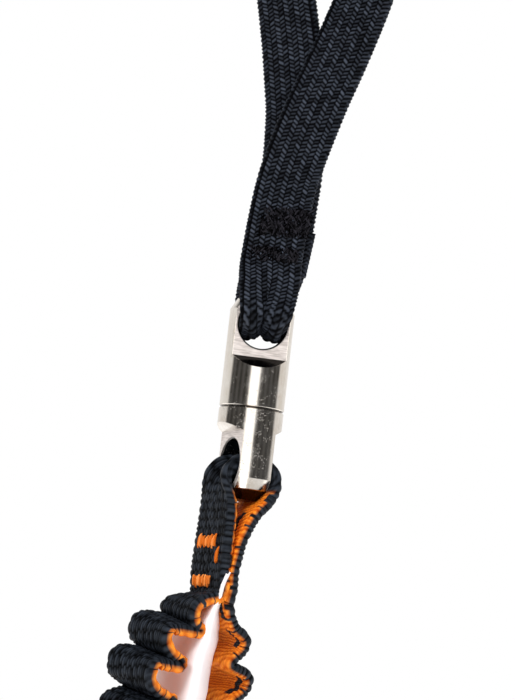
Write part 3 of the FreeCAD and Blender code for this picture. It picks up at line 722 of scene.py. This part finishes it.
TACKS = {"upper": (-2.6, 7.1, 35.0, 40.6, 380), "lower": (-4.2, 5.6, 29.8, 32.4, 200)}
tacks = [tangled_tack(f"{place}_tack_{face}", *TACKS[place], side)
         for face, side in (("front", -1), ("back", 1)) for place in ("upper", "lower")]
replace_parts(tacks[0], "choke_bar_tacks")


# ------------------------------------------------------------------ webbing

WEB_HALF, WEB_THICK, WEB_STEP = 6.3, 1.9, 0.25
# the webbing curled round an eye: an arc across it
WEB_CURL = 0.29
WEB_FOLD = [(u, math.sin(WEB_CURL * u) / WEB_CURL, (1 - math.cos(WEB_CURL * u)) / WEB_CURL)
            for u in np.linspace(0, 6.6, 12)]
NEAR_FACING = 90 + math.degrees(LOWER_TURN)
# round the near eye, in the lower tang's frame: outward of the left side, height, share of curl
# and the way it faces
NEAR_EYE = [(4.6, -37.2, 0, 30), (4.9, -34, 0, 31), (4.9, -31, 0, 31), (4.8, -27, 0, 30),
            (4.7, -22, 0, 29), (4.6, -18.6, 0.05, 27), (4.45, -16.4, 0.3, 25),
            (4.1, -14.7, 0.65, 23), (3.0, -13.6, 0.95, 23), (0, -13.1, 1, 23),
            (-2.9, -13.6, 0.95, 23), (-3.9, -14.7, 0.55, 23), (-4.3, -16.4, 0.15, 23),
            (-3.4, -18.6, 0.0, 26), (-0.8, -21.0, 0, 31), (0.8, -23.6, 0, 33), (1.9, -27, 0, 30),
            (2.2, -30.4, 0, 28), (2.7, -33.4, 0, 28), (2.5, -37.2, 0, 29)]
# the gathered run between its two seams: the middle between its sides, and the way they face
GATHER_TOP, GATHER_END = -38.4, -163.0
MIDDLE_X = [(-38.4, -3.7), (-42, -5.2), (-46, -6.5), (-53, -7.6), (-65, -9.4), (-80, -10.6),
            (-100, -10.6), (-120, -8.6), (-140, -4.8), (-155, -2.0), (-163, -1.0), (-185, 0.0)]
MIDDLE_Y = [(-38.4, -1.56), (-53, -0.4), (-80, 0.0), (-163, 0.0)]
FACING = [(-38.4, 29), (-42, 32), (-46, 36), (-53, 44), (-65, 52), (-80, 60), (-100, 70),
          (-120, 80), (-140, 88), (-155, 90), (-163, 90)]
# the first folds' ridges and valleys as (outward, height); regular ones follow
LEFT_FOLDS = [(0.9, -38.5), (4.2, -39.4), (5.4, -40.4), (5.6, -42.0), (4.6, -43.4), (2.2, -44.2),
              (2.6, -44.7), (8.6, -44.6), (10.3, -45.2), (10.6, -46.6), (10.2, -48.6), (8.6, -49.9),
              (5.9, -51.4), (6.2, -52.0), (12.0, -52.0), (13.7, -52.7), (14.1, -54.2),
              (13.8, -56.2), (12.2, -57.5), (7.3, -58.9), (7.4, -59.6)]
RIGHT_FOLDS = [(1.1, -38.5), (2.6, -41.0), (4.9, -43.0), (8.0, -44.0), (9.0, -45.0), (9.0, -46.8),
               (8.0, -48.0), (6.5, -49.3), (6.6, -50.2), (11.8, -51.2), (13.0, -52.2),
               (13.0, -54.2), (12.0, -55.4), (9.9, -56.8), (9.9, -57.6)]
FOLD_PITCH, FOLD_SWING, FOLD_TILT = 7.4, 4.3, -0.25
# round the carabiner's captive eye: outward of the front web, height, share of curl
FAR_RUN = [(0.9, -164.0, 0), (1.05, -170, 0), (1.05, -176, 0), (1.15, -186, 0), (1.3, -190.0, 0),
           (2.4, -193.5, 0.0), (4.0, -196.5, 0.08), (4.9, -199.2, 0.35), (4.7, -201.4, 0.6),
           (3.9, -202.9, 0.85), (2.4, -203.5, 1), (0, -203.7, 1)]


def web_point(outward, z, facing, middle_x, middle_y=0):
    """A point outward of the middle, and the webbing's width direction there."""
    a = math.radians(facing)
    return (middle_x - math.cos(a) * outward, middle_y - math.sin(a) * outward, z,
            math.sin(a), -math.cos(a))


def near_point(outward, z, curl, facing):
    a = math.radians(facing)
    return web_point(outward, z, NEAR_FACING, 0)[:3] + (math.sin(a), -math.cos(a), 0, curl)


def side_folds(folds, first_mean, last_mean, sign):
    """The list of fold turns of one side, carried on regularly down to the far seam."""
    found = list(folds)
    z, high = folds[-1][1], True
    while z - FOLD_PITCH / 2 > GATHER_END + 4.5:
        z -= FOLD_PITCH / 2
        mean = first_mean + (last_mean - first_mean) * eased(-60, -150, z)
        swing = FOLD_SWING + 0.5 * math.sin(z * 0.9 + sign)
        jitter = 0.35 * math.sin(z * 2.3 + 1.7 * sign)
        level = mean + (swing if high else -swing) + jitter
        if high:
            found += [(level - 1.4, z + 1.9), (level, z + 1.0), (level, z - 1.0),
                      (level - 1.4, z - 1.9)]
        else:
            found += [(level, z + 0.35), (level, z - 0.35)]
        high = not high
    return found + [(3.4, GATHER_END + 2.6), (1.2, GATHER_END + 0.6)]


def web_side(folds, sign):
    """Points down one gathered side. sign is 1 for the left web, -1 for the right one."""
    rows = []
    for outward, z in folds:
        tilt = FOLD_TILT * eased(GATHER_TOP, -44, z) * eased(GATHER_END, -152, z)
        rows.append(web_point(sign * outward, z, table(FACING, z), table(MIDDLE_X, z),
                              table(MIDDLE_Y, z)) + (tilt, 0))
    return rows


def far_point(outward, z, curl):
    return web_point(outward, z, 90, table(MIDDLE_X, z)) + (0, curl)


# up the left side, over the near eye, down the right side and round the far eye
left_side = web_side(side_folds(LEFT_FOLDS, 9.5, 7.2, 1), 1)
right_side = web_side(side_folds(RIGHT_FOLDS, 9.3, 7.0, -1), -1)
far_front = [far_point(o, z, curl) for o, z, curl in FAR_RUN]
far_back = [far_point(-o, z, curl) for o, z, curl in FAR_RUN[:-1]]
loop = ring(np.array([near_point(*row) for row in NEAR_EYE] + right_side + far_back
                     + far_front[::-1] + left_side[::-1], float), 0.75, WEB_STEP)
way = travelled(loop)
loop = np.hstack([loop, way[:, None]])[:-1]

# begin the loop at the near seam, below the left leg
count = len(loop)
above_seam = np.flatnonzero(loop[:, 2] > GATHER_TOP)
loop = np.roll(loop, -above_seam[above_seam > count // 2].min(), 0)
loop[:, 7] = way[:-1]
end_near = int(np.flatnonzero(loop[:, 2] > GATHER_TOP).max())
below_seam = np.flatnonzero(loop[:, 2] < GATHER_END)
start_far, end_far = int(below_seam.min()), int(below_seam.max())
top_of_near = int(np.argmax(loop[:end_near, 2]))
bottom_of_far = start_far + int(np.argmin(loop[start_far:end_far, 2]))
LEFT_UNTIL, NEAR_UNTIL, LEFT_FROM = loop[[top_of_near, end_near, bottom_of_far], 7]

WEB_COLUMNS = 40
RIB_PITCH, YARN_PITCH, YARN_SLANT = 1.75, 0.95, 0.42
DASH_PITCH, STRIPE_PITCH, STRIPE_WIDE, PLY_PITCH, BEAD_PITCH = 3.1, 11.0, 1.5, 2.4, 1.3


def wave(s, pitch):
    return s * 2 * math.pi / pitch


def from_inside(part, v):
    """On an edge, 0 next to the inner face and 1 next to the outer one."""
    run = 2 * (WEB_HALF - WEB_THICK / 2)
    turn = math.pi * WEB_THICK / 2
    return np.where(part == PLUS_EDGE, 1 - (v - run) / turn, (v - 2 * run - turn) / turn)


def webbing(s, v, part, u, girth):
    """Two-tone webbing: black ribs outside and slanting orange yarns inside. The left web's
    edges are a thick orange ply, the right one's black beads. s is the way along, v the way
    round the section and u the place across."""
    inner = part == INNER
    edge = (part == PLUS_EDGE) | (part == MINUS_EDGE)
    left = (s < LEFT_UNTIL) | (s > LEFT_FROM)
    near_leg = eased(0, 4, s) * (s < LEFT_UNTIL)
    raised = from_inside(part, v)

    # the two faces
    col, x = cells(v / girth * WEB_COLUMNS)
    row, f = cells(s / RIB_PITCH + 0.13 * (col % 2) + 0.07 * np.sin(col * 2.9)
                   + 0.08 * np.sin(s * 0.37 + col * 0.9))
    ribs = np.clip(1 - (2.0 * np.abs(f)) ** 2.6, 0, 1)
    rounded = np.clip(1 - (2 * np.abs(x)) ** 2.5, 0, 1)
    _, g = cells((s + YARN_SLANT * u) / YARN_PITCH + 0.12 * np.sin(col * 1.3)
                 + 0.08 * np.sin(s * 1.9))
    yarns = np.clip(1 - (2 * np.abs(g)) ** 1.6, 0, 1) * (0.6 + 0.4 * rounded)
    chance = 0.5 + 0.5 * chance_of(row, col)
    up = np.where(inner, yarns, ribs * (0.25 + 0.75 * rounded))
    # painted shade and sheen: lightness follows the ribs and yarns, dark in the grooves, times a
    # random tone
    light = np.where(inner, 0.12 + 0.88 * yarns * (0.5 + 0.5 * chance), up * (1.6 * chance - 0.5))

    # where it is orange: the inner face and the edge's inner part, but for black dashes and,
    # on the right web, a wandering black stripe
    orange_edge = edge & (raised < np.where(left, 0.5 - 0.1 * near_leg, 0.22))
    dashes = np.sin(wave(s, DASH_PITCH) + 2.3 * np.sin(s * 0.47) + 1.1 * np.sin(s * 1.31))
    dashed = (orange_edge | (inner & (np.abs(u) > 5.3))) & (dashes > np.where(left, 0.95, 0.8))
    stripe_from = (np.where(s < NEAR_UNTIL, 1.6, 3.4) + 0.25 * np.sin(s * 1.9)
                   + 0.2 * np.sin(s * 0.83 + 1))
    striped = (inner & ~left & (u > stripe_from) & (u < stripe_from + STRIPE_WIDE)
               & (np.sin(wave(s, STRIPE_PITCH) + 1.9 * np.sin(s * 0.21)) > -0.5))
    tone = np.where((inner | orange_edge) & ~dashed & ~striped, 1.0, 0.0)

    # the edges: ply and beads, lighter on their crowns as painted sheen and darker between them as
    # painted shade
    ply = 0.5 + 0.5 * np.sin(wave(s, PLY_PITCH) + 8.0 * raised)
    plied = orange_edge & left
    swollen = np.sin(math.pi * np.clip(raised / 0.6, 0, 1))
    up = np.where(plied, (2.3 - 1.4 * near_leg) * swollen + 0.6 * ply, up)
    light = np.where(plied, 0.35 + 0.65 * ply, light)
    beads = np.abs(np.sin(wave(s, 2 * BEAD_PITCH) + 0.8 * np.sin(s * 0.9))) ** 0.8
    beaded = edge & ~plied
    up = np.where(beaded, 1.15 * beads, up)
    light = np.where(beaded, beads * (0.4 + 0.6 * np.abs(np.sin(s * 2.3))), light)
    return up, light, tone


def webbing_piece(name, keep):
    piece = band(name, loop[keep], WEB_HALF, WEB_THICK, webbing, WEB, WEB_FOLD,
                 relief=0.25, step=0.17)
    return piece


near_web = webbing_piece("webbing_near_eye", np.arange(0, end_near + 1))
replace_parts(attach(near_web, "web_top"), "web_sewn_top")
far_web = webbing_piece("webbing_far_eye", np.arange(start_far, end_far + 1))
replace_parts(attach(far_web, "web_end"), "web_sewn_end")
for name, keep, node in (
        ("webbing_gathered_right", np.arange(end_near, start_far + 1), "web_gathered_right"),
        ("webbing_gathered_left", np.r_[end_far:count, 0], "web_gathered_left")):
    piece = webbing_piece(name, keep)
    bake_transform(piece)
    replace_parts(piece, node)


# ------------------------------------------------------------------ orange bar tacks of the webbing

near_rows, far_rows = loop[:end_near + 1], loop[start_far:end_far + 1]
top_row, low_row = int(np.argmax(near_rows[:, 2])), int(np.argmin(far_rows[:, 2]))
LEFT_LEG, RIGHT_LEG = near_rows[:top_row], near_rows[top_row:]
FAR_BACK, FAR_FRONT = far_rows[:low_row], far_rows[low_row:]


def on_webbing(leg, across, height):
    """A point on the middle of a leg's thickness, and the way its outer face looks."""
    k = int(np.argmin(np.abs(leg[:, 2] - height)))
    centre, w = leg[k, :3], leg[k, 3:6]
    ahead = unit(leg[k + 1, :3] - leg[k - 1, :3])
    w = unit(w - (w @ ahead) * ahead)
    return centre + w * across, np.cross(w, ahead)


def satin_tack(name, leg, body, centre_z, across, wide, tall, strands):
    """A bar tack of upright strands side by side, ragged at the ends and sunk at both."""
    sunk, arch = 0.05, 0.36
    lines = []
    for k in range(strands):
        place = across + wide * ((k + 0.5) / strands - 0.5) + 0.12 * (rng.random() - 0.5)
        reach = tall * (0.4 + 0.22 * rng.random())
        middle = centre_z + 0.25 * (rng.random() - 0.5) + 0.25 * math.sin(2.1 * k)
        strand = []
        for t in np.linspace(-1, 1, 9):
            point, out = on_webbing(leg, place + 0.08 * t, middle + reach * t)
            strand.append(point + out * (WEB_THICK / 2 - sunk + arch * (1 - t ** 4)))
        lines.append(strand)
    obj = threads(name, lines, 0.27, THREAD_ORANGE, sides=6, spread=0.3)
    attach(obj, body)
    return obj


near_tack = satin_tack("near_tack_upper", LEFT_LEG, "web_top", -27.4, -0.8, 7.0, 2.3, 14)
satin_tack("near_tack_lower", LEFT_LEG, "web_top", -35.2, -1.3, 6.6, 2.1, 13)
satin_tack("near_tack_back", RIGHT_LEG, "web_top", -34.7, 0.0, 7.4, 2.3, 15)
satin_tack("near_tack_mark", LEFT_LEG, "web_top", -30.4, 3.7, 0.9, 3.0, 2)
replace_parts(near_tack, "web_near_bar_tacks")
far_tacks = [satin_tack(f"far_tack_{face}_{place}", leg, "web_end", height, 0.0, 8.0, 2.4, 16)
             for face, leg in (("front", FAR_FRONT), ("back", FAR_BACK))
             for place, height in (("upper", -170.0), ("lower", -182.0))]
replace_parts(far_tacks[0], "web_far_bar_tacks")


# ------------------------------------------------------------------ care label

LABEL_TOP, LABEL_END, LABEL_STEP, LABEL_THICK = -34.0, -79.0, 0.35, 0.3
# the fold's foremost line, where it lies across and in depth
LABEL_X = [(-32.8, -0.9), (-38.6, -2.0), (-41.8, -3.2), (-43.8, -3.6), (-46.9, -3.6), (-49.4, -4.1),
           (-52.7, -5.0), (-58.9, -5.3), (-70, -6.8), (-80, -7.6)]
LABEL_DEPTH = [(-32.8, -8.0), (-38.6, -8.1), (-46, -7.6), (-53, -7.2), (-60, -6.6), (-80, -6.2)]
# how far its two panels open sideways, and how far back they reach
LABEL_OPEN = [(-33.6, 0.1), (-38, 0.6), (-41, 1.8), (-44, 4.2), (-50, 5.6), (-59, 6.6), (-80, 6.6)]
LABEL_REACH = [(-33.6, 0.8), (-38, 4.5), (-42, 8.5), (-50, 11.5), (-80, 12.5)]


def label_rows():
    """The label's surface: down its length, and round its fold from the left panel to the right."""
    blunt = 0.012
    t = np.linspace(-1, 1, 61)
    found = []
    for z in np.arange(LABEL_TOP, LABEL_END, -LABEL_STEP):
        gap = table(LABEL_OPEN, z)
        ripple = 0.125 * np.sin(z * 0.55) + 0.06 * np.sin(z * 1.3 + 1)
        back = table(LABEL_REACH, z) * (np.sqrt(blunt + t ** 2) - math.sqrt(blunt)) * 0.95
        left = -gap * 1.4 * np.abs(np.minimum(t, 0)) ** 0.75
        right = (0.45 + 0.35 * gap) * np.maximum(t, 0) ** 0.55
        found.append(np.stack([table(LABEL_X, z) + left + right + ripple,
                               table(LABEL_DEPTH, z) + back, z + 0.6 * t * t], -1))
    return np.array(found)


def thick_sheet(name, rows, thick, material):
    """A sheet of even thickness from a grid of points."""
    normal = unit(np.cross(np.gradient(rows, axis=1), np.gradient(rows, axis=0)))
    n, m = rows.shape[:2]
    verts = np.concatenate([rows + normal * thick / 2, (rows - normal * thick / 2)[:, ::-1]], 1)
    quads, _ = tube_faces(n, 2 * m)
    ends = []
    for row in (0, n - 1):
        base = row * 2 * m
        for k in range(m - 1):
            quad = [base + k, base + k + 1, base + 2 * m - 2 - k, base + 2 * m - 1 - k]
            ends.append(quad[::-1] if row == 0 else quad)
    return build(name, verts.reshape(-1, 3), np.vstack([quads, ends]), (), {}, material)


label_grid = label_rows()
label = thick_sheet("care_label_sheet", label_grid, LABEL_THICK, label_material())
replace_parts(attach(label, "web_top"), "care_label")


# ------------------------------------------------------------------ elastic core

CORE_HALF, CORE_THICK, CORE_BACK = 3.5, 2.2, 1.2
CORE_TOP, CORE_END = -47.0, -147.0
CORDS, PICK_PITCH = 12, 0.9


def corded(s, v, part, u, girth):
    """Covered elastic: round cords side by side, crossed by fine picks."""
    cord = np.abs(np.sin(v / girth * math.pi * CORDS))
    pick = 0.5 + 0.5 * np.sin(wave(s, PICK_PITCH))
    up = np.sqrt(cord) * (0.75 + 0.25 * pick)
    # painted shade: the cords are as light as they are high, so the grooves between them are dark
    return up, up, 0.0 * up


def core_point(z):
    a = math.radians(table(FACING, z))
    return table(MIDDLE_X, z), table(MIDDLE_Y, z) + CORE_BACK, z, math.sin(a), -math.cos(a), 0, 0


core_line = counted([core_point(z) for z in np.arange(CORE_TOP, CORE_END - 0.01, -1.0)], 0.3)
core = band("elastic_core_band", core_line, CORE_HALF, CORE_THICK, corded, ELASTIC, WEB_FOLD,
            relief=0.25)
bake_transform(core)
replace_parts(core, "elastic_core")


# ------------------------------------------------------------------ steel and carabiner

def dress(node, material):
    """Give one of the CAD's own pieces a material."""
    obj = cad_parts[node]
    obj.data.materials.clear()
    obj.data.materials.append(material)
    for poly in obj.data.polygons:
        poly.material_index = 0


dress("swivel_upper_barrel", barrel_material("polished_steel_upper", UPPER_TURN, eye_z=16.8,
                                             pits=0.25, cutter=(7.2, 10.25)))
dress("swivel_lower_barrel", barrel_material("polished_steel_lower", LOWER_TURN, eye_z=-11.2,
                                             pits=0.8))
STEEL = bearing_material()
for node in ("swivel_retaining_collar", "swivel_fixed_washer", "swivel_balls", "swivel_pin",
             "swivel_turning_washer", "gate_rivet", "gate_spring", "gate_plunger"):
    dress(node, STEEL)
GREY = (0.18, 0.185, 0.19)
dress("carabiner_body", anodised_material("dark_anodised", (0.03, 0.032, 0.036)))
dress("carabiner_gate", anodised_material("grey_anodised", GREY))
dress("gate_sleeve", anodised_material("grey_anodised_sleeve", GREY, knurl=0.0003))
